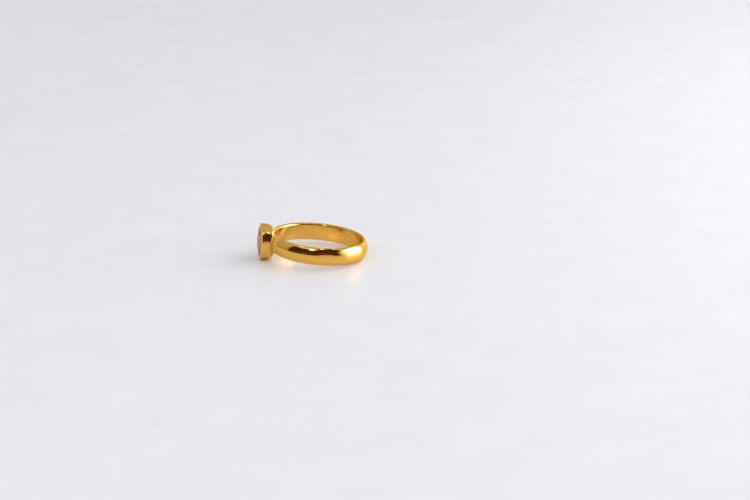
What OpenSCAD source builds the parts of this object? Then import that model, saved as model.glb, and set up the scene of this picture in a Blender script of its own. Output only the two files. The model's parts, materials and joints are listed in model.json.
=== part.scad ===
// A gold ring with one round diamond in a plain cup setting.
// It lies on its side: the wall of the cup and the far edge of the band touch the floor.
// Millimetres, +Z up. The floor is z = 0, and the origin is under the middle of the ring.

/* [Finger] */
// Inside diameter of the band
finger_d = 16.5; // [14:0.1:21]

/* [Band] */
// Width of the band along the finger
band_w = 3.35; // [2.8:0.05:4.5]
// Thickness of the band at the crest of its dome
band_t = 1.3; // [1.1:0.05:1.7]
// Thickness of the band at its two edges
edge_t = 0.6; // [0.5:0.05:0.8]
// Radius that eases the two edges next to the finger
inner_ease = 0.4; // [0.1:0.05:0.4]
// Radius that eases the two edges beside the dome
outer_ease = 0.15; // [0.05:0.05:0.2]

/* [Cup setting] */
// Height of the rim above the crest of the band
rim_rise = 1.8; // [1.6:0.05:2.4]
// Outer diameter of the collar under the rim
collar_d = 6.9; // [6.5:0.05:7.5]
// Depth from the rim to where the wall starts to bow inwards
collar_h = 0.45; // [0.4:0.05:0.6]
// Radius of the wall's slight bow
wall_r = 6; // [5:0.5:8]
// Angle that the wall turns through before the shoulder, in degrees
wall_a = 16; // [12:1:18]
// Radius of the shoulder that turns in towards the band
shoulder_r = 0.7; // [0.5:0.05:1]
// Depth of the foot below the crest of the band
foot_sink = 0.75; // [0.7:0.05:0.9]
// Fall of the rim from the stone out to the collar
rim_fall = 0.18; // [0.1:0.02:0.3]
// Radius that eases the outer edge of the rim
rim_ease = 0.15; // [0.05:0.05:0.2]
// Droop of the cup's axis from the middle plane of the band, in degrees
cup_lean = 2; // [0:0.5:3]

/* [Diamond] */
// Diameter of the stone at its girdle
girdle_d = 5.6; // [5:0.05:5.8]
// Thickness of the girdle where it is thickest
girdle_t = 0.12; // [0.1:0.01:0.2]
// Width of the table as a share of the girdle
table_share = 0.62; // [0.53:0.01:0.66]
// Slope of the main facets above the girdle
crown_angle = 20; // [16:1:26]
// Slope of the main facets below the girdle
pavilion_angle = 40.75; // [39:0.25:41.5]
// Depth of the girdle below the rim
girdle_sink = 0.2; // [0.15:0.01:0.3]
// Cover of the rim over the edge of the girdle
lip_cover = 0.1; // [0.05:0.01:0.2]
// Gap between the stone and the gold
stone_gap = 0.03; // [0.02:0.01:0.05]

/* [Hidden] */
$fn = 96;
gold = "#d9a441";
stone = "#b59f8c";

// Band section, with x as the distance from the axis of the finger
finger_r = finger_d / 2;
crest_r = finger_r + band_t;
half_w = band_w / 2;
dome_rise = band_t - edge_t;
dome_r = (dome_rise * dome_rise + half_w * half_w) / (2 * dome_rise);
dome_x = crest_r - dome_r;
outer_ease_z = half_w - outer_ease;
outer_ease_x = dome_x + sqrt(pow(dome_r - outer_ease, 2) - pow(outer_ease_z, 2));
outer_ease_a = atan2(outer_ease_z, outer_ease_x - dome_x);

// Cup heights, all measured from the axis of the finger along the axis of the cup
rim_h = crest_r + rim_rise;
wall_h = rim_h - collar_h;
foot_h = crest_r - foot_sink;
collar_r = collar_d / 2;
wall_x = collar_r - wall_r;
shoulder_x = wall_x + (wall_r - shoulder_r) * cos(wall_a);
shoulder_h = wall_h - (wall_r - shoulder_r) * sin(wall_a);

// Stone sizes, with heights on the same scale as the cup's
FOLDS = 8; // the stone repeats eight times round its axis
fold_a = 360 / FOLDS;
GIRDLE_STEPS = 4; // points along a girdle facet
girdle_r = girdle_d / 2;
girdle_top = rim_h - girdle_sink;
girdle_low = girdle_top - girdle_t;
table_r = girdle_r * table_share;
table_h = girdle_top + (girdle_r - table_r) * tan(crown_angle);
pavilion_d = girdle_r * tan(pavilion_angle);
culet_h = girdle_low - pavilion_d;
STAR_REACH = 0.5; // how far a star facet reaches from the table to the girdle
star_r = (table_r + (girdle_r - table_r) * STAR_REACH) / cos(fold_a / 2);
LOWER_REACH = 0.77; // how far a lower girdle facet reaches from the girdle to the point
lower_r = girdle_r * (1 - LOWER_REACH);

// The rim leans in over the stone and falls away to the collar
lip_r = girdle_r - lip_cover;
upper_slope = (crown_h(star_r * cos(fold_a / 2)) - girdle_top) / (girdle_r - star_r);
lip_low = girdle_top + stone_gap + lip_cover * upper_slope;
rim_slope = atan2(rim_fall, collar_r - lip_r);
rim_ease_x = collar_r - rim_ease;
rim_ease_h = rim_h - rim_fall + rim_ease * tan(rim_slope) - rim_ease / cos(rim_slope);

// Centres of the two round edges that touch the floor, in the plane through both axes:
// the lower wall of the cup, and the far lower edge of the band
wall_out = wall_h - crest_r;
wall_c = [
  -crest_r - wall_out * cos(cup_lean) + wall_x * sin(cup_lean),
  -wall_out * sin(cup_lean) - wall_x * cos(cup_lean)
];
edge_c = [outer_ease_x, -outer_ease_z];

// The ring tips until both are level with the floor
span = edge_c - wall_c;
rest_tilt = asin((wall_r - outer_ease) / norm(span)) + atan2(span[1], span[0]);
floor_gap = wall_r + wall_c[0] * sin(rest_tilt) - wall_c[1] * cos(rest_tilt);
cup_tilt = rest_tilt - cup_lean;
table_out = table_h - crest_r;
left_x = crest_r * cos(rest_tilt) + table_out * cos(cup_tilt) + table_r * sin(cup_tilt);
right_x = dome_x * cos(rest_tilt) + dome_r;
mid_x = (right_x - left_x) / 2;

// Places a part that was made round the finger's axis at rest on the floor
module settle() {
  translate([-mid_x, 0, floor_gap])
    rotate([0, rest_tilt, 0])
      children();
}

// Turns a part that was made upright so that its top points away from the finger,
// and tips it by the lean about the crest of the band
module on_cup_axis() {
  translate([-crest_r, 0, 0])
    rotate([0, -90 - cup_lean, 0])
      translate([0, 0, -crest_r])
        children();
}

// The waste outside an eased corner: an arc about c with radius r, from angle a1 to a2
module corner_waste(c, r, a1, a2) {
  mid_a = (a1 + a2) / 2;
  tip = 2.4 * r / cos((a2 - a1) / 2);
  translate(c)
    difference() {
      polygon([
        [0, 0],
        [2 * r * cos(a1), 2 * r * sin(a1)],
        [tip * cos(mid_a), tip * sin(mid_a)],
        [2 * r * cos(a2), 2 * r * sin(a2)]
      ]);
      circle(r = r);
    }
}

// Section of the band: flat inside, domed outside
module band_section() {
  difference() {
    intersection() {
      translate([dome_x, 0])
        circle(r = dome_r);
      translate([finger_r, -half_w])
        square([band_t + 1, band_w]);
    }
    for (side = [0, 1])
      mirror([0, side])
        union() {
          corner_waste([finger_r + inner_ease, half_w - inner_ease], inner_ease, 90, 180);
          corner_waste([outer_ease_x, outer_ease_z], outer_ease, outer_ease_a, 90);
        }
  }
}

// Half section of the cup, solid through to its axis
module cup_section() {
  difference() {
    polygon([
      [0, foot_h],
      [collar_r, foot_h],
      [collar_r, rim_h - rim_fall],
      [lip_r, rim_h],
      [0, rim_h]
    ]);
    difference() {
      translate([wall_x, foot_h - 1])
        square([wall_r + 1, wall_h - foot_h + 1]);
      translate([wall_x, wall_h])
        circle(r = wall_r);
    }
    corner_waste([shoulder_x, shoulder_h], shoulder_r, -90, -wall_a);
    corner_waste([rim_ease_x, rim_ease_h], rim_ease, 0, 90 - rim_slope);
  }
}

// Half section of the stone's seat: a lip over the girdle and a cone below it
module seat_section() {
  cone_gap = 3 * stone_gap;
  polygon([
    [0, rim_h + 1],
    [lip_r, rim_h + 1],
    [lip_r, lip_low],
    [girdle_r + stone_gap, girdle_top + stone_gap],
    [girdle_r + stone_gap, girdle_low - cone_gap + stone_gap * tan(pavilion_angle)],
    [0, culet_h - cone_gap]
  ]);
}

function polar(r, a, h) = [r * cos(a), r * sin(a), h];

// Height at x, y of the plane through three points
function plane_h(p, q, s, x, y) =
  let (n = cross(q - p, s - p))
  p[2] - (n[0] * (x - p[0]) + n[1] * (y - p[1])) / n[2];

// Angle from the nearest main facet's middle line
function folded(a) = abs((a + fold_a / 2) % fold_a - fold_a / 2);

// Heights of the main facets' planes, at a distance x along their middle lines
function crown_h(x) = girdle_top + (girdle_r - x) * tan(crown_angle);
function pavilion_h(x) = girdle_low - (girdle_r - x) * tan(pavilion_angle);

// Girdle points, where the facets between point p and the girdle meet the round edge
function girdle_ring(p, h) =
  let (g = polar(girdle_r, 0, h), m = polar(girdle_r, fold_a / 2, h))
  [
    for (i = [0 : 2 * GIRDLE_STEPS * FOLDS - 1])
      let (a = i * fold_a / (2 * GIRDLE_STEPS), b = folded(a))
      polar(girdle_r, a, plane_h(p, g, m, girdle_r * cos(b), girdle_r * sin(b)))
  ];

// A round brilliant, upright: table, stars, mains and girdle facets, and the same below
module brilliant() {
  half_a = fold_a / 2;
  steps = GIRDLE_STEPS;
  n = 2 * steps * FOLDS;
  star_h = crown_h(star_r * cos(half_a));
  lower_h = pavilion_h(lower_r * cos(half_a));
  table_pts = [for (k = [0 : FOLDS - 1]) polar(table_r, k * fold_a, table_h)];
  star_pts = [for (k = [0 : FOLDS - 1]) polar(star_r, k * fold_a + half_a, star_h)];
  upper_pts = girdle_ring(polar(star_r, half_a, star_h), girdle_top);
  under_pts = girdle_ring(polar(lower_r, half_a, lower_h), girdle_low);
  lower_pts = [for (k = [0 : FOLDS - 1]) polar(lower_r, k * fold_a + half_a, lower_h)];
  star = FOLDS;
  upper = star + FOLDS;
  under = upper + n;
  lower = under + n;
  culet = lower + FOLDS;
  points = concat(table_pts, star_pts, upper_pts, under_pts, lower_pts, [[0, 0, culet_h]]);
  faces = concat(
    [[for (k = [FOLDS - 1 : -1 : 0]) k]],
    [for (k = [0 : FOLDS - 1]) [k, (k + 1) % FOLDS, star + k]],
    [for (k = [0 : FOLDS - 1])
      [k, star + k, upper + 2 * steps * k, star + (k + FOLDS - 1) % FOLDS]],
    [for (k = [0 : FOLDS - 1], half = [0, 1])
      concat([star + k], [for (j = [steps : -1 : 0]) upper + (2 * k * steps + half * steps + j) % n])],
    [for (i = [0 : n - 1]) [upper + i, upper + (i + 1) % n, under + (i + 1) % n, under + i]],
    [for (k = [0 : FOLDS - 1], half = [0, 1])
      concat([lower + k], [for (j = [0 : steps]) under + (2 * k * steps + half * steps + j) % n])],
    [for (k = [0 : FOLDS - 1])
      [culet, lower + (k + FOLDS - 1) % FOLDS, under + 2 * steps * k, lower + k]]
  );
  polyhedron(points = points, faces = faces);
}

// Gold: the band and the cup are soldered into one piece, and the seat is cut in the cup
module band_and_bezel() {
  color(gold)
    settle()
      difference() {
        union() {
          rotate_extrude()
            band_section();
          on_cup_axis()
            rotate_extrude()
              cup_section();
        }
        on_cup_axis()
          rotate_extrude()
            seat_section();
      }
}

// The stone, table outwards, held under the lip of the rim
module diamond() {
  color(stone)
    settle()
      on_cup_axis()
        brilliant();
}

band_and_bezel();
diamond();
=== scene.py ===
import json
import math

import bmesh
import bpy
import numpy as np
from mathutils import Matrix, Vector


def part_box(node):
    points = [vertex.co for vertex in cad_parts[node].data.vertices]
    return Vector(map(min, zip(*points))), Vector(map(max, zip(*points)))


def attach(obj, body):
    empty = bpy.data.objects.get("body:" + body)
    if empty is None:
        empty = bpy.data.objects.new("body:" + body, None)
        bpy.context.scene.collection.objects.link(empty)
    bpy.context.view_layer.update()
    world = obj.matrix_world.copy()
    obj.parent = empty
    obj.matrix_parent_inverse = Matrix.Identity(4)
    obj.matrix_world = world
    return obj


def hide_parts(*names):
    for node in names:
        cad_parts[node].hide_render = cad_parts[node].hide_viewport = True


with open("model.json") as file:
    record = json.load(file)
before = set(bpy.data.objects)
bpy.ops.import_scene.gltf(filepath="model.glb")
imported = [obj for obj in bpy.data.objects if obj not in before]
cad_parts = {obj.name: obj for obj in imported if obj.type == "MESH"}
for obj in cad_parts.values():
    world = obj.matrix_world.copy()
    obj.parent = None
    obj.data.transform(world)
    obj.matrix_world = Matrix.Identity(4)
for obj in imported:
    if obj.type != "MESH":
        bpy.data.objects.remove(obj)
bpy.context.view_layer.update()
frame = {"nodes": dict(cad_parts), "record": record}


# The band. The real one is a closed hoop of 22 carat yellow gold, flat inside and domed outside.
# It is rolled to this D section, bent round a mandrel, soldered and polished, so here one section
# of arcs and straight lines is turned round the axis of the finger by a tree of Geometry Nodes.
MM = 0.001
bore = next(m for m in frame["record"]["mounts"] if m["name"] == "finger_bore")
ring_centre = Vector(bore["pos_m"])
ring_axis = Vector(bore["axis"]).normalized()
rest_tilt = math.atan2(ring_axis.x, ring_axis.z)
finger_r = bore["dims"]["r_mm"] * MM
crest_r = round(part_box("band_and_bezel")[1].y / MM, 2) * MM
half_w = 3.35 * MM / 2
edge_t = 0.6 * MM
inner_ease = 0.4 * MM
outer_ease = 0.15 * MM
dome_rise = crest_r - finger_r - edge_t
dome_r = (dome_rise**2 + half_w**2) / (2 * dome_rise)
dome_x = crest_r - dome_r
outer_z = half_w - outer_ease
outer_x = dome_x + math.sqrt((dome_r - outer_ease) ** 2 - outer_z**2)
outer_a = math.atan2(outer_z, outer_x - dome_x)
inner_x = finger_r + inner_ease
inner_z = half_w - inner_ease


def add(tree, kind, sockets=None, **settings):
    """A new node. Its sockets are set by name or number: another socket is linked, a value is stored."""
    node = tree.nodes.new(kind)
    for key, value in settings.items():
        setattr(node, key, value)
    for key, value in (sockets or {}).items():
        if isinstance(value, bpy.types.NodeSocket):
            tree.links.new(value, node.inputs[key])
        else:
            node.inputs[key].default_value = value
    return node


def calc(tree, operation, *values):
    """The output of a Math node."""
    return add(tree, "ShaderNodeMath", dict(enumerate(values)), operation=operation).outputs[0]


def shape_tree(name, sizes):
    """A Geometry Nodes tree with a named input for each size, and the sockets of those inputs.

    A size that is given as text stands for a geometry.
    """
    tree = bpy.data.node_groups.new(name, "GeometryNodeTree")
    for label, value in sizes.items():
        kind = {int: "Int", float: "Float", str: "Geometry"}[type(value)]
        socket = tree.interface.new_socket(label, in_out="INPUT", socket_type="NodeSocket" + kind)
        if kind != "Geometry":
            socket.default_value = value
    tree.interface.new_socket("Mesh", in_out="OUTPUT", socket_type="NodeSocketGeometry")
    return tree, tree.nodes.new("NodeGroupInput").outputs


def give(tree, geometry):
    """Sends a geometry socket to the output of its tree."""
    tree.links.new(geometry, tree.nodes.new("NodeGroupOutput").inputs[0])


def lathe_tree(weld=1e-7):
    """Turns a section round the Z axis. Its corners go in order round the middle that is given.

    The section's x is the distance from the axis, and its y is the height. Corners that lie on the
    axis, and the seam where the last step meets the first, are welded.
    """
    sizes = {"Section": "", "Middle X": 1.0, "Middle Y": 1.0, "Steps Around": 96}
    tree, given = shape_tree("lathe", sizes)
    spot = add(tree, "ShaderNodeSeparateXYZ", {0: add(tree, "GeometryNodeInputPosition").outputs[0]})
    side = calc(tree, "SUBTRACT", spot.outputs[0], given["Middle X"])
    rise = calc(tree, "SUBTRACT", spot.outputs[1], given["Middle Y"])
    points = add(tree, "GeometryNodeCurveToPoints", {"Curve": given["Section"]}, mode="EVALUATED")
    loop = add(
        tree,
        "GeometryNodePointsToCurves",
        {"Points": points.outputs["Points"], "Weight": calc(tree, "ARCTAN2", rise, side)},
    )
    count = add(tree, "GeometryNodeAttributeDomainSize", {0: loop.outputs[0]}, component="CURVE")
    across = count.outputs["Point Count"]
    rows = calc(tree, "ADD", given["Steps Around"], 1.0)
    columns = calc(tree, "ADD", across, 1.0)
    grid = add(tree, "GeometryNodeMeshGrid", {"Vertices X": rows, "Vertices Y": columns})
    index = add(tree, "GeometryNodeInputIndex").outputs[0]
    clear_of_rounding = calc(tree, "ADD", index, 0.5)
    row = calc(tree, "FLOOR", calc(tree, "DIVIDE", clear_of_rounding, columns))
    column = calc(tree, "SUBTRACT", index, calc(tree, "MULTIPLY", row, columns))
    around = calc(tree, "MULTIPLY", row, calc(tree, "DIVIDE", 2 * math.pi, given["Steps Around"]))
    read = add(
        tree,
        "GeometryNodeSampleIndex",
        {
            "Geometry": loop.outputs[0],
            "Value": add(tree, "GeometryNodeInputPosition").outputs[0],
            "Index": calc(tree, "MODULO", column, across),
        },
        data_type="FLOAT_VECTOR",
    )
    corner = add(tree, "ShaderNodeSeparateXYZ", {0: read.outputs[0]})
    place = add(
        tree,
        "ShaderNodeCombineXYZ",
        {
            0: calc(tree, "MULTIPLY", corner.outputs[0], calc(tree, "COSINE", around)),
            1: calc(tree, "MULTIPLY", corner.outputs[0], calc(tree, "SINE", around)),
            2: corner.outputs[1],
        },
    )
    sockets = {"Geometry": grid.outputs["Mesh"], "Position": place.outputs[0]}
    turned = add(tree, "GeometryNodeSetPosition", sockets)
    closed = add(tree, "GeometryNodeMergeByDistance", {"Geometry": turned.outputs[0], "Distance": weld})
    give(tree, closed.outputs[0])
    return tree


lathe = lathe_tree()


def join(tree, *parts):
    """Joins geometry sockets."""
    node = tree.nodes.new("GeometryNodeJoinGeometry")
    for part in parts:
        tree.links.new(part, node.inputs[0])
    return node.outputs[0]


def move(tree, geometry, place=(0, 0, 0), turn=(0, 0, 0), scale=(1, 1, 1)):
    """Geometry scaled, turned and moved."""
    settings = {"Geometry": geometry, "Translation": place, "Rotation": turn, "Scale": scale}
    return add(tree, "GeometryNodeTransform", settings).outputs[0]


def arc(tree, x, y, radius, start, sweep, points):
    """Points on an arc of a section, about the centre x, y."""
    curve = add(
        tree,
        "GeometryNodeCurveArc",
        {"Resolution": points, "Radius": radius, "Start Angle": start, "Sweep Angle": sweep},
        mode="RADIUS",
    )
    centre = add(tree, "ShaderNodeCombineXYZ", {0: x, 1: y}).outputs[0]
    return move(tree, curve.outputs["Curve"], place=centre)


def line(tree, x0, y0, x1, y1):
    """Two corners of a section."""
    start = add(tree, "ShaderNodeCombineXYZ", {0: x0, 1: y0}).outputs[0]
    end = add(tree, "ShaderNodeCombineXYZ", {0: x1, 1: y1}).outputs[0]
    return add(tree, "GeometryNodeCurvePrimitiveLine", {"Start": start, "End": end}).outputs[0]


def turn_section(tree, parts, middle, steps):
    """The solid of a section whose parts are seen in order from the middle."""
    sockets = {"Section": join(tree, *parts), "Steps Around": steps}
    sockets["Middle X"], sockets["Middle Y"] = middle
    return add(tree, "GeometryNodeGroup", sockets, node_tree=lathe).outputs[0]


def band_tree():
    """The band, upright on the axis of the finger: the dome and the eased edges, mirrored."""
    tree, given = shape_tree(
        "band",
        {
            "Dome Radius": dome_r,
            "Dome Centre": dome_x,
            "Dome Half Angle": outer_a,
            "Outer Ease": outer_ease,
            "Outer Ease X": outer_x,
            "Outer Ease Y": outer_z,
            "Inner Ease": inner_ease,
            "Inner Ease X": inner_x,
            "Inner Ease Y": inner_z,
            "Dome Points": 29,
            "Ease Points": 8,
            "Steps Around": 384,
        },
    )
    quarter = math.pi / 2
    rest = calc(tree, "SUBTRACT", quarter, given["Dome Half Angle"])
    upper = join(
        tree,
        arc(
            tree,
            given["Dome Centre"],
            0.0,
            given["Dome Radius"],
            0.0,
            given["Dome Half Angle"],
            given["Dome Points"],
        ),
        arc(
            tree,
            given["Outer Ease X"],
            given["Outer Ease Y"],
            given["Outer Ease"],
            given["Dome Half Angle"],
            rest,
            given["Ease Points"],
        ),
        arc(
            tree,
            given["Inner Ease X"],
            given["Inner Ease Y"],
            given["Inner Ease"],
            quarter,
            quarter,
            given["Ease Points"],
        ),
    )
    lower = move(tree, upper, scale=(1, -1, 1))
    middle = (given["Inner Ease X"], 0.0)
    give(tree, turn_section(tree, [upper, lower], middle, given["Steps Around"]))
    return tree


# The cup. The real one is a plain round bezel of the same gold: it was turned, set on the band and
# soldered. Its wall bows in a little to a tight shoulder and a flat foot sunk into the band, and its
# rim was pressed over the edge of the stone. The stone's seat is cut through the cup into the band.
rim_h = crest_r + 1.8 * MM
collar_r = 6.9 * MM / 2
wall_h = rim_h - 0.45 * MM
wall_r = 6 * MM
wall_a = math.radians(16)
wall_x = collar_r - wall_r
shoulder_r = 0.7 * MM
shoulder_x = wall_x + (wall_r - shoulder_r) * math.cos(wall_a)
shoulder_h = wall_h - (wall_r - shoulder_r) * math.sin(wall_a)
foot_h = crest_r - 0.75 * MM
foot_a = math.asin((shoulder_h - foot_h) / shoulder_r)
rim_fall = 0.18 * MM
rim_ease = 0.15 * MM
cup_lean = math.radians(2)
girdle_r = 5.6 * MM / 2
girdle_top = rim_h - 0.2 * MM
girdle_low = girdle_top - 0.12 * MM
pavilion_a = math.radians(40.75)
culet_h = girdle_low - girdle_r * math.tan(pavilion_a)
stone_gap = 0.03 * MM
lip_r = girdle_r - 0.1 * MM
rim_slope = math.atan2(rim_fall, collar_r - lip_r)
rim_ease_x = collar_r - rim_ease
rim_ease_h = rim_h - rim_fall + rim_ease * math.tan(rim_slope) - rim_ease / math.cos(rim_slope)
seat_r = girdle_r + stone_gap
seat_apex = culet_h - 3 * stone_gap
seat_low = seat_apex + seat_r * math.tan(pavilion_a)
seat_top = girdle_top + stone_gap
seat_middle = 0.6 * MM
lip_rise = 0.02 * MM
lip_low = seat_top + lip_rise


def cup_tree():
    """The cup, upright on its own axis and solid through to it."""
    tree, given = shape_tree(
        "cup",
        {
            "Foot Height": foot_h,
            "Wall Centre X": wall_x,
            "Wall Centre Height": wall_h,
            "Wall Radius": wall_r,
            "Wall Angle": wall_a,
            "Shoulder Centre X": shoulder_x,
            "Shoulder Centre Height": shoulder_h,
            "Shoulder Radius": shoulder_r,
            "Shoulder End Angle": foot_a,
            "Rim Ease X": rim_ease_x,
            "Rim Ease Height": rim_ease_h,
            "Rim Ease": rim_ease,
            "Rim Slope": rim_slope,
            "Rim Height": rim_h,
            "Lip Radius": lip_r,
            "Arc Points": 16,
            "Ease Points": 8,
            "Steps Around": 240,
        },
    )
    down = calc(tree, "MULTIPLY", given["Wall Angle"], -1.0)
    end = calc(tree, "MULTIPLY", given["Shoulder End Angle"], -1.0)
    up = calc(tree, "SUBTRACT", math.pi / 2, given["Rim Slope"])
    wall = arc(
        tree,
        given["Wall Centre X"],
        given["Wall Centre Height"],
        given["Wall Radius"],
        down,
        given["Wall Angle"],
        given["Arc Points"],
    )
    shoulder = arc(
        tree,
        given["Shoulder Centre X"],
        given["Shoulder Centre Height"],
        given["Shoulder Radius"],
        end,
        calc(tree, "SUBTRACT", down, end),
        given["Arc Points"],
    )
    ease = arc(
        tree,
        given["Rim Ease X"],
        given["Rim Ease Height"],
        given["Rim Ease"],
        0.0,
        up,
        given["Ease Points"],
    )
    top = line(tree, given["Lip Radius"], given["Rim Height"], 0.0, given["Rim Height"])
    axis = line(tree, 0.0, given["Foot Height"], 0.0, given["Foot Height"])
    middle = (given["Shoulder Centre X"], given["Shoulder Centre Height"])
    give(tree, turn_section(tree, [shoulder, wall, ease, top, axis], middle, given["Steps Around"]))
    return tree


def seat_tree():
    """The hollow for the stone: a cone, a shelf for the girdle, and the mouth inside the lip."""
    tree, given = shape_tree(
        "seat",
        {
            "Point Height": seat_apex,
            "Cone Height": seat_low,
            "Girdle Height": seat_top,
            "Seat Radius": seat_r,
            "Lip Height": lip_low,
            "Lip Radius": lip_r,
            "Open Height": rim_h + 1 * MM,
            "Steps Around": 240,
        },
    )
    cone = line(tree, 0.0, given["Point Height"], given["Seat Radius"], given["Cone Height"])
    shelf = line(
        tree, given["Seat Radius"], given["Girdle Height"], given["Lip Radius"], given["Lip Height"]
    )
    top = line(tree, given["Lip Radius"], given["Open Height"], 0.0, given["Open Height"])
    heights = calc(tree, "ADD", given["Cone Height"], given["Girdle Height"])
    middle = (seat_middle, calc(tree, "MULTIPLY", heights, 0.5))
    give(tree, turn_section(tree, [cone, shelf, top], middle, given["Steps Around"]))
    return tree


def group(tree, inner):
    """Another tree as one node, with its own sizes."""
    return add(tree, "GeometryNodeGroup", node_tree=inner).outputs[0]


gold = bpy.data.materials.new("polished_gold")
gold.use_nodes = True


def gold_tree():
    """Band and cup as one solid with the seat cut in it, at rest on the floor."""
    tree, given = shape_tree(
        "band_and_cup",
        {
            "Crest Radius": crest_r,
            "Cup Lean": cup_lean,
            "Rest Tilt": rest_tilt,
            "Centre X": ring_centre.x,
            "Centre Z": ring_centre.z,
        },
    )
    out = calc(tree, "MULTIPLY", given["Crest Radius"], -1.0)
    lower = add(tree, "ShaderNodeCombineXYZ", {2: out}).outputs[0]
    across = add(tree, "ShaderNodeCombineXYZ", {0: out}).outputs[0]
    swing = calc(tree, "SUBTRACT", -math.pi / 2, given["Cup Lean"])
    turn = add(tree, "ShaderNodeCombineXYZ", {1: swing}).outputs[0]

    def on_cup_axis(geometry):
        return move(tree, move(tree, geometry, place=lower), place=across, turn=turn)

    joined = add(tree, "GeometryNodeMeshBoolean", operation="UNION", solver="MANIFOLD")
    for part in (group(tree, band_tree()), on_cup_axis(group(tree, cup_tree()))):
        tree.links.new(part, joined.inputs["Mesh 2"])
    cut = add(tree, "GeometryNodeMeshBoolean", operation="DIFFERENCE", solver="MANIFOLD")
    tree.links.new(joined.outputs[0], cut.inputs["Mesh 1"])
    tree.links.new(on_cup_axis(group(tree, seat_tree())), cut.inputs["Mesh 2"])
    tilt = add(tree, "ShaderNodeCombineXYZ", {1: given["Rest Tilt"]}).outputs[0]
    sockets = {0: given["Centre X"], 2: given["Centre Z"]}
    centre = add(tree, "ShaderNodeCombineXYZ", sockets).outputs[0]
    settled = move(tree, cut.outputs[0], place=centre, turn=tilt)
    real = add(tree, "GeometryNodeRealizeInstances", {0: settled})
    dressed = add(tree, "GeometryNodeSetMaterial", {"Geometry": real.outputs[0], "Material": gold})
    give(tree, dressed.outputs[0])
    return tree


def grow(tree, name):
    """Runs a tree on an empty object, and keeps what it makes as the object's own plain mesh."""
    piece = bpy.data.objects.new(name, bpy.data.meshes.new(name))
    bpy.context.scene.collection.objects.link(piece)
    modifier = piece.modifiers.new("shape", "NODES")
    modifier.node_group = tree
    for item in tree.interface.items_tree:
        if item.in_out == "INPUT":
            modifier[item.identifier] = item.default_value
    depsgraph = bpy.context.evaluated_depsgraph_get()
    made = bpy.data.meshes.new_from_object(piece.evaluated_get(depsgraph), depsgraph=depsgraph)
    piece.modifiers.clear()
    piece.data = made
    made.name = name
    return piece


ring = grow(gold_tree(), "gold_ring")


# The finish of the gold. Solder ran into the corner between cup and band, and polishing rounded
# the thin lip and the edge of the foot. The mesh is made finer there, each point is moved to the
# rounded surface, and the normals come from it, so that the mirror finish shows no facets.
solder_reach = 0.35 * MM
solder_lump = 0.24 * MM
solder_swing = 0.25
lip_reach = 0.1 * MM
foot_reach = 0.16 * MM
satin_reach = 1.9 * MM
satin_edge = 0.2 * MM
satin_up_the_cup = 4


def about_y(angle):
    """The matrix that turns rows of points by an angle about the Y axis."""
    return np.array([
        [math.cos(angle), 0, math.sin(angle)],
        [0, 1, 0],
        [-math.sin(angle), 0, math.cos(angle)],
    ])


ring_turn = about_y(rest_tilt)
cup_turn = about_y(-math.pi / 2 - cup_lean)


def soft_min(a, b, reach):
    """The smaller of two distances, rounded where they differ by less than the reach."""
    share = np.maximum(reach - np.abs(a - b), 0) / reach
    return np.minimum(a, b) - share * share * reach / 4


def band_off(points):
    """How far points, in the ring's own frame, lie outside the band."""
    x, z = np.hypot(points[:, 0], points[:, 1]), np.abs(points[:, 2])
    off = np.maximum.reduce([np.hypot(x - dome_x, z) - dome_r, finger_r - x, z - half_w])
    inner = (x < inner_x) & (z > inner_z)
    off = np.where(inner, np.hypot(x - inner_x, z - inner_z) - inner_ease, off)
    turn = np.arctan2(z - outer_z, x - outer_x)
    outer = (turn > outer_a) & (turn < math.pi / 2)
    return np.where(outer, np.hypot(x - outer_x, z - outer_z) - outer_ease, off)


def cup_off(x, h):
    """How far points lie outside the cup, from their distance to its axis and their height."""
    rim = (h - rim_h) * math.cos(rim_slope) + (x - lip_r) * math.sin(rim_slope)
    side = np.where(h < wall_h, np.hypot(x - wall_x, h - wall_h) - wall_r, x - collar_r)
    low = np.arctan2(h - shoulder_h, x - shoulder_x) < -wall_a
    side = np.where(low, np.hypot(np.maximum(x - shoulder_x, 0), h - shoulder_h) - shoulder_r, side)
    turn = np.arctan2(h - rim_ease_h, x - rim_ease_x)
    eased = (turn > 0) & (turn < math.pi / 2 - rim_slope)
    body = np.where(eased, np.hypot(x - rim_ease_x, h - rim_ease_h) - rim_ease, np.maximum(rim, side))
    return -soft_min(-body, h - foot_h, foot_reach)


def seat_off(x, h):
    """How far points lie outside the mouth of the seat, and outside the whole seat."""
    mouth = np.maximum(x - lip_r, lip_low - h)
    cone = x * math.sin(pavilion_a) - (h - seat_apex) * math.cos(pavilion_a)
    chamber = np.maximum.reduce([x - seat_r, cone, h - seat_top])
    return mouth, np.minimum(mouth, chamber)


def gold_off(points, parts=False):
    """How far points of the scene lie outside the finished gold, or the distances behind it."""
    ringed = (points - np.array(ring_centre)) @ ring_turn
    cupped = (ringed + [crest_r, 0, 0]) @ cup_turn + [0, 0, crest_r]
    x, h = np.hypot(cupped[:, 0], cupped[:, 1]), cupped[:, 2]
    band, cup = band_off(ringed), cup_off(x, h)
    lump = cupped / solder_lump
    uneven = np.sin(lump[:, 0] + 1) * np.sin(lump[:, 1]) * np.sin(lump[:, 2])
    outside = soft_min(band, cup, solder_reach * (1 - solder_swing + solder_swing * uneven))
    mouth, hollow = seat_off(x, h)
    if parts:
        return band, cup, outside, mouth, h - foot_h
    return np.maximum(-soft_min(-outside, mouth, lip_reach), -hollow)


def slope(points, step=2e-8):
    """The direction in which the distance to the gold grows, and that distance."""
    changes = [gold_off(points + d) - gold_off(points - d) for d in np.eye(3) * step]
    return np.array(changes).T / (2 * step), gold_off(points)


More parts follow.
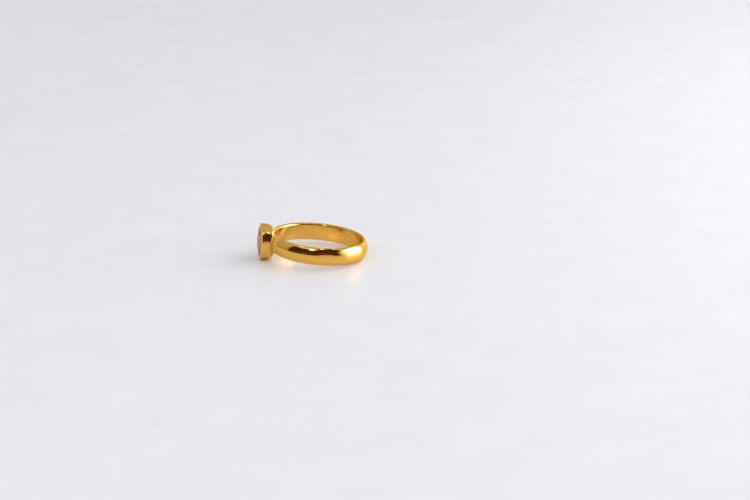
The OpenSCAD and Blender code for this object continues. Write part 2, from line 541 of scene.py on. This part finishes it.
def needs_care(points, sunk=0.03 * MM, past_lip=0.2 * MM, margin=1.2):
    """Marks the points beside the solder, the lip and the edge of the foot."""
    band, cup, outside, mouth, foot = gold_off(points, parts=True)
    solder = (np.abs(band - cup) < solder_reach) & (np.minimum(band, cup) > -sunk) & (mouth > past_lip)
    lip = (np.abs(mouth) < margin * lip_reach) & (np.abs(outside) < margin * lip_reach)
    edge = (np.abs(foot) < foot_reach) & (np.abs(cup) < foot_reach) & (band > -foot_reach / 3)
    return solder | lip | edge


def split_long_edges(points, faces, longest):
    """Halves triangles across their longest edge, until no edge that needs care is too long."""
    while True:
        ends = np.sort(np.stack([faces, np.roll(faces, -1, 1)], -1), -1)
        key, side = np.unique(ends[..., 0] * len(points) + ends[..., 1], return_inverse=True)
        edges, side = np.stack([key // len(points), key % len(points)], 1), side.reshape(-1, 3)
        length = np.linalg.norm(points[edges[:, 0]] - points[edges[:, 1]], axis=1)
        length[~needs_care(points)[edges].any(1) | (length < longest)] = 0
        pick = length[side].argmax(1)
        chosen = side[np.arange(len(faces)), pick]
        ready = np.bincount(chosen[length[chosen] > 0], minlength=len(edges)) == 2
        if not ready.any():
            return points, faces
        fresh = len(points) + np.cumsum(ready) - 1
        cut = ready[chosen]
        a, b, c = (faces[cut, (pick[cut] + k) % 3] for k in range(3))
        middle = fresh[chosen[cut]]
        points = np.vstack([points, points[edges[ready]].mean(1)])
        faces = np.vstack([faces[~cut], np.stack([a, middle, c], 1), np.stack([middle, b, c], 1)])


def finish_gold(piece, longest=0.065 * MM, weld=0.008 * MM, rounds=4, least_slope=0.25, inset=0.03):
    """Refines and rounds the mesh, and gives it normals and the two attributes of the joint."""
    made = bmesh.new()
    made.from_mesh(piece.data)
    bmesh.ops.remove_doubles(made, verts=made.verts, dist=weld)
    bmesh.ops.triangulate(made, faces=made.faces)
    points = np.array([v.co for v in made.verts])
    faces = np.array([[v.index for v in f.verts] for f in made.faces])
    made.free()
    points, faces = split_long_edges(points, faces, longest)
    for _ in range(rounds):
        grows, off = slope(points)
        size = np.maximum((grows**2).sum(1, keepdims=True), least_slope)
        points = points - np.clip(off[:, None], -lip_reach, lip_reach) * grows / size
    made = bpy.data.meshes.new(piece.name)
    made.from_pydata(points, [], faces)
    made.materials.append(gold)
    made.shade_smooth()
    corners = points[faces]
    corners = (1 - inset) * corners + inset * corners.mean(1, keepdims=True)
    normals = slope(corners.reshape(-1, 3))[0]
    made.normals_split_custom_set(normals / np.linalg.norm(normals, axis=1, keepdims=True))
    band, cup = gold_off(points, parts=True)[:2]
    near = np.clip(1 - np.maximum(band, cup) / satin_reach, 0, 1)
    ringed = (points - np.array(ring_centre)) @ ring_turn
    near[np.hypot(ringed[:, 0], ringed[:, 1]) < inner_x] = 0
    satin = near * np.clip((cup - band) / satin_edge + satin_up_the_cup, 0, 1)
    # Painted shade: this mask darkens the solder on the cup's side of the crease.
    cup_side_shade = np.clip((band - cup) / satin_edge + 0.5, 0, 1)
    for name, values in (("satin", satin), ("cup_side_shade", cup_side_shade)):
        made.attributes.new(name, "FLOAT", "POINT").data.foreach_set("value", values)
    old, piece.data = piece.data, made
    bpy.data.meshes.remove(old)


finish_gold(ring)


# The polish on the gold. Felt wheels and rouge left a mirror with a slow waviness and faint
# hairlines. They don't reach into the corner beside the cup: there the solder stays satin, and on
# the cup's side its colour is darkened with painted shade, where the crease between cup and band lies.
gold_tint = (0.89, 0.53, 0.11, 1)
gold_deep = (0.85, 0.47, 0.085, 1)
solder_tint = (0.78, 0.48, 0.09, 1)
# The solder darkened with painted shade, for the crease on the cup's side.
solder_shaded = (0.55, 0.29, 0.04, 1)
sheen_tint = (1.0, 0.86, 0.60, 1)
wave_scale = 420.0
wave_depth = 0.004 * MM
hairline_scale = 5200.0
hairline_start, hairline_full = 0.35, 0.75
mirror_rough, hairline_rough = 0.05, 0.11
satin_rough = 0.38
satin_metal = 0.12
satin_ior = 1.3
satin_full = 0.6


def ramp(tree, value, start, end, low, high, **settings):
    """A value that goes from low to high while another goes from start to end."""
    sockets = {0: value, 1: start, 2: end, 3: low, 4: high}
    return add(tree, "ShaderNodeMapRange", sockets, **settings).outputs[0]


def blend(tree, share, under, over, **settings):
    """A colour that goes from one to another while the share goes from 0 to 1."""
    sockets = {0: share, 6: under, 7: over}
    return add(tree, "ShaderNodeMix", sockets, data_type="RGBA", **settings).outputs[2]


def dress_gold(material):
    """Builds the polish in the material's own tree."""
    tree = material.node_tree
    surface = tree.nodes["Principled BSDF"]
    place = add(tree, "ShaderNodeTexCoord").outputs["Object"]
    wave = {"Vector": place, "Scale": wave_scale, "Detail": 2.0, "Roughness": 0.5}
    wave = add(tree, "ShaderNodeTexNoise", wave).outputs[0]
    hairlines = {"Vector": place, "Scale": hairline_scale, "Detail": 4.0, "Roughness": 0.6}
    hairlines = add(tree, "ShaderNodeTexNoise", hairlines).outputs[0]
    near = add(tree, "ShaderNodeAttribute", attribute_name="satin").outputs["Fac"]
    satin = ramp(tree, near, 0.0, satin_full, 0.0, 1.0, interpolation_type="SMOOTHSTEP")
    cup_side_shade = add(tree, "ShaderNodeAttribute", attribute_name="cup_side_shade").outputs["Fac"]
    metal = blend(tree, wave, gold_deep, gold_tint)
    # Painted shade: the solder's colour goes darker on the cup's side of the crease.
    joint = blend(tree, cup_side_shade, solder_tint, solder_shaded)
    tree.links.new(blend(tree, satin, metal, joint), surface.inputs["Base Color"])
    rough = ramp(tree, hairlines, hairline_start, hairline_full, mirror_rough, hairline_rough)
    rough = calc(tree, "ADD", rough, calc(tree, "MULTIPLY", satin, satin_rough))
    tree.links.new(rough, surface.inputs["Roughness"])
    bump = add(tree, "ShaderNodeBump", {"Strength": 1.0, "Distance": wave_depth, "Height": wave})
    tree.links.new(bump.outputs[0], surface.inputs["Normal"])
    tree.links.new(ramp(tree, satin, 0.0, 1.0, 1.0, satin_metal), surface.inputs["Metallic"])
    surface.inputs["Specular Tint"].default_value = sheen_tint
    surface.inputs["IOR"].default_value = satin_ior


dress_gold(gold)
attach(ring, "root")
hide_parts("band_and_bezel")


# The stone. The real one is a round cut diamond of light taupe tint, ground and polished facet by
# facet, and held by the rim pressed over its girdle. It keeps its own solid, and its material bends
# and mirrors light, with a slight haze that shows most on facets seen edge on.
diamond_ior = 2.42
bent_tint = (0.97, 0.90, 0.80, 1)
outer_gloss_tint = (0.84, 0.66, 0.48, 1)
inner_gloss_tint = (0.97, 0.93, 0.88, 1)
outer_gloss_share = 0.45
haze_tint = (0.47, 0.31, 0.17, 1)
haze_start, haze_full = 0.3, 0.8
haze_square_on, haze_edge_on = 0.03, 0.58
diamond = frame["nodes"]["diamond"]
stone = bpy.data.materials.new("taupe_diamond")
stone.use_nodes = True
clear = stone.node_tree
clear.nodes.clear()
bending = {"Color": bent_tint, "Roughness": 0.0, "IOR": diamond_ior}
bent = add(clear, "ShaderNodeBsdfRefraction", bending).outputs[0]
haze = add(clear, "ShaderNodeBsdfDiffuse", {"Color": haze_tint}).outputs[0]
edge_on = add(clear, "ShaderNodeLayerWeight", {"Blend": 0.5}).outputs["Facing"]
haze_share = ramp(clear, edge_on, haze_start, haze_full, haze_square_on, haze_edge_on)
hazy = add(clear, "ShaderNodeMixShader", {0: haze_share, 1: bent, 2: haze}).outputs[0]
inside = add(clear, "ShaderNodeNewGeometry").outputs["Backfacing"]
gloss_tint = blend(clear, inside, outer_gloss_tint, inner_gloss_tint)
gloss = add(clear, "ShaderNodeBsdfAnisotropic", {"Color": gloss_tint, "Roughness": 0.0}).outputs[0]
mirrored = add(clear, "ShaderNodeFresnel", {"IOR": diamond_ior}).outputs[0]
mirrored = calc(clear, "MULTIPLY", mirrored, ramp(clear, inside, 0.0, 1.0, outer_gloss_share, 1.0))
mixed = add(clear, "ShaderNodeMixShader", {0: mirrored, 1: hazy, 2: gloss}).outputs[0]
add(clear, "ShaderNodeOutputMaterial", {0: mixed})
diamond.data.materials.clear()
diamond.data.materials.append(stone)


# The table that the ring lies on: a large smooth white sheet with a soft gloss, very slightly
# uneven in tone. It is the stage, and no part of the ring.
sheet_reach = 4.0
sheet_dark = (0.76, 0.772, 0.804, 1)
sheet_light = (0.84, 0.852, 0.886, 1)
sheet_rough = 0.34
sheet_ior = 1.3
sheet_corners = [(x * sheet_reach, y * sheet_reach, 0) for x, y in ((-1, -1), (1, -1), (1, 1), (-1, 1))]
floor = bpy.data.objects.new("table", bpy.data.meshes.new("table"))
bpy.context.scene.collection.objects.link(floor)
floor.data.from_pydata(sheet_corners, [], [(0, 1, 2, 3)])
white = bpy.data.materials.new("white_sheet")
white.use_nodes = True
surface = white.node_tree.nodes["Principled BSDF"]
place = add(white.node_tree, "ShaderNodeTexCoord").outputs["Object"]
cloud = {"Vector": place, "Scale": 80.0, "Detail": 4.0, "Roughness": 0.6}
cloud = add(white.node_tree, "ShaderNodeTexNoise", cloud).outputs[0]
tone = blend(white.node_tree, cloud, sheet_dark, sheet_light)
white.node_tree.links.new(tone, surface.inputs["Base Color"])
surface.inputs["Roughness"].default_value = sheet_rough
surface.inputs["IOR"].default_value = sheet_ior
floor.data.materials.append(white)


# The light. The mirror finish shows the room, so the world has one: a large window on the right, pale
# walls, lamps under a grey ceiling, and the dim side behind the camera. Matt surfaces get an even
# light instead, brighter from the window, and two large lamps cast the ring's soft shadows.
world = bpy.data.worlds.new("studio")
bpy.context.scene.world = world
world.use_nodes = True
sky = world.node_tree
sky.nodes.clear()
world.cycles.sampling_method = "NONE"
direction = add(sky, "ShaderNodeTexCoord").outputs["Generated"]
direction = add(sky, "ShaderNodeSeparateXYZ", {0: direction})
forward = calc(sky, "MULTIPLY", direction.outputs[1], -1.0)
azimuth = calc(sky, "ARCTAN2", direction.outputs[0], forward)
elevation = calc(sky, "ARCSINE", direction.outputs[2])


def span(angle, middle, half, soft):
    """1 where an angle lies within half of the middle, falling to 0 across soft, in degrees."""
    far = calc(sky, "ABSOLUTE", calc(sky, "SUBTRACT", angle, math.radians(middle)))
    far = calc(sky, "MINIMUM", far, calc(sky, "SUBTRACT", 2 * math.pi, far))
    outer, inner = math.radians(half + soft / 2), math.radians(half - soft / 2)
    return ramp(sky, far, outer, inner, 0.0, 1.0, interpolation_type="SMOOTHSTEP")


def lay(under, patches):
    """Lays soft-edged patches of light and shade over the colours under them, one after another.

    Each patch has a name, a colour, the colour's strength, and where it lies: its azimuth and its
    elevation, each as the middle, half the width and the soft edge, in degrees. Azimuth 0 is
    towards the photographer, and 90 is to the right.
    """
    for name, colour, strength, across, up in patches:
        where = calc(sky, "MULTIPLY", span(azimuth, *across), span(elevation, *up))
        shade = add(sky, "ShaderNodeVectorMath", {0: colour, 3: strength}, operation="SCALE")
        under = blend(sky, where, under, shade.outputs[0], label=name)
    return under


room_at_horizon, room_overhead = 0.55, 0.95
height = ramp(sky, direction.outputs[2], 0.0, 1.0, room_at_horizon, room_overhead)
room = add(sky, "ShaderNodeCombineXYZ", {0: height, 1: height, 2: height}).outputs[0]
lamp = (1.0, 0.97, 0.92)
room = lay(room, (
    ("ceiling", (0.62, 0.60, 0.60), 1.0, (0, 200, 1), (90, 14, 14)),
    ("top of the right wall", (1.0, 0.97, 0.93), 1.15, (30, 60, 30), (66, 5, 8)),
    ("far wall", (0.66, 0.64, 0.62), 1.0, (168, 18, 16), (14, 16, 14)),
    ("far corner", (1.0, 0.99, 0.98), 1.8, (155, 9, 12), (10, 12, 12)),
    ("wall beyond the window", (1.0, 0.97, 0.93), 1.6, (130, 22, 16), (10, 20, 16)),
    ("wall round the window", (1.0, 0.98, 0.95), 1.55, (90, 40, 16), (14, 26, 12)),
    ("dim shelf above the camera", (0.10, 0.06, 0.02), 1.0, (28, 32, 12), (48, 16, 8)),
    ("dim side behind the camera", (0.085, 0.05, 0.015), 1.0, (-16.5, 63.5, 10), (28, 25, 10)),
    ("brown thing right of the camera", (0.25, 0.085, 0.02), 1.0, (14, 9, 12), (17, 8, 8)),
    ("front edge of the table", (0.86, 0.80, 0.72), 1.0, (12, 16, 10), (-2, 13, 4)),
    ("brown thing left of the camera", (0.20, 0.12, 0.05), 1.0, (-40, 8, 12), (15, 5, 10)),
    ("top of the left wall", lamp, 1.5, (-32, 30, 14), (58, 4, 6)),
    ("first lamp", lamp, 12.0, (-20, 7, 5), (53, 4, 4)),
    ("second lamp", lamp, 4.0, (20, 6, 6), (64, 3, 4)),
    ("third lamp", lamp, 5.0, (61, 5, 5), (60, 4, 4)),
    ("fourth lamp", lamp, 2.5, (-68, 7, 6), (65, 3, 4)),
    ("window", (0.80, 0.92, 1.40), 9.5, (88, 24, 9), (15, 21, 8)),
))
even_at_horizon, even_overhead = 1.065, 1.195
even_tint = (1.01, 1.0, 1.02)
even = ramp(sky, direction.outputs[2], 0.0, 1.0, even_at_horizon, even_overhead)
even = add(sky, "ShaderNodeVectorMath", {0: even_tint, 3: even}, operation="SCALE").outputs[0]
even = lay(even, (("light of the window", (1.0, 0.98, 0.96), 1.9, (90, 48, 30), (22, 26, 24)),))
# What the floor gets by way of the gold is brighter than what it gets straight from the room
thrown = lay(even, (
    ("left front", (1.0, 0.98, 0.95), 2.0, (-30, 50, 20), (35, 35, 20)),
    ("window", (1.0, 0.98, 0.96), 9.0, (88, 24, 9), (15, 21, 8)),
))
path = add(sky, "ShaderNodeLightPath").outputs
even = blend(sky, path["Is Glossy Ray"], even, thrown)
matt = ramp(sky, path["Diffuse Depth"], 0.0, 1.0, 0.0, 1.0)
seen = blend(sky, matt, room, even)
backdrop = (0.78, 0.78, 0.80, 1)
exposure = 0.72
seen = blend(sky, path["Is Camera Ray"], seen, backdrop)
shine = add(sky, "ShaderNodeBackground", {0: seen, 1: exposure}).outputs[0]
add(sky, "ShaderNodeOutputWorld", {0: shine})
for name, place, width, power in (
    ("window_light", (0.26, 0.0, 0.16), 0.36, 0.34),
    ("fill_light", (-0.22, -0.30, 0.15), 0.15, 0.08),
):
    glow = bpy.data.lights.new(name, "AREA")
    glow.size, glow.energy = width, power
    side = bpy.data.objects.new(name, glow)
    bpy.context.scene.collection.objects.link(side)
    side.location = place
    side.rotation_euler = side.location.to_track_quat("Z", "Y").to_euler()
    side.visible_glossy = False
    side.visible_camera = False


# The camera stands where the photograph was taken from: low, a little to the left of the ring's
# front, and 40 cm away, with a short telephoto lens.
camera_place = Vector((-52.56, -378.43, 117.54)) * MM
camera_azimuth = math.radians(-9.699)
camera_elevation = math.radians(16.922)
camera_roll = math.radians(0.373)
lens = bpy.data.cameras.new("camera")
lens.lens = 100
lens.clip_start, lens.clip_end = 0.01, 20
camera = bpy.data.objects.new("camera", lens)
bpy.context.scene.collection.objects.link(camera)
back = Vector((
    math.sin(camera_azimuth) * math.cos(camera_elevation),
    -math.cos(camera_azimuth) * math.cos(camera_elevation),
    math.sin(camera_elevation),
))
camera.location = camera_place
turn = (-back).to_track_quat("-Z", "Y").to_matrix()
camera.rotation_euler = (turn @ Matrix.Rotation(camera_roll, 3, "Z")).to_euler()
bpy.context.scene.camera = camera
bpy.context.scene.view_settings.view_transform = "Standard"

bpy.context.view_layer.update()
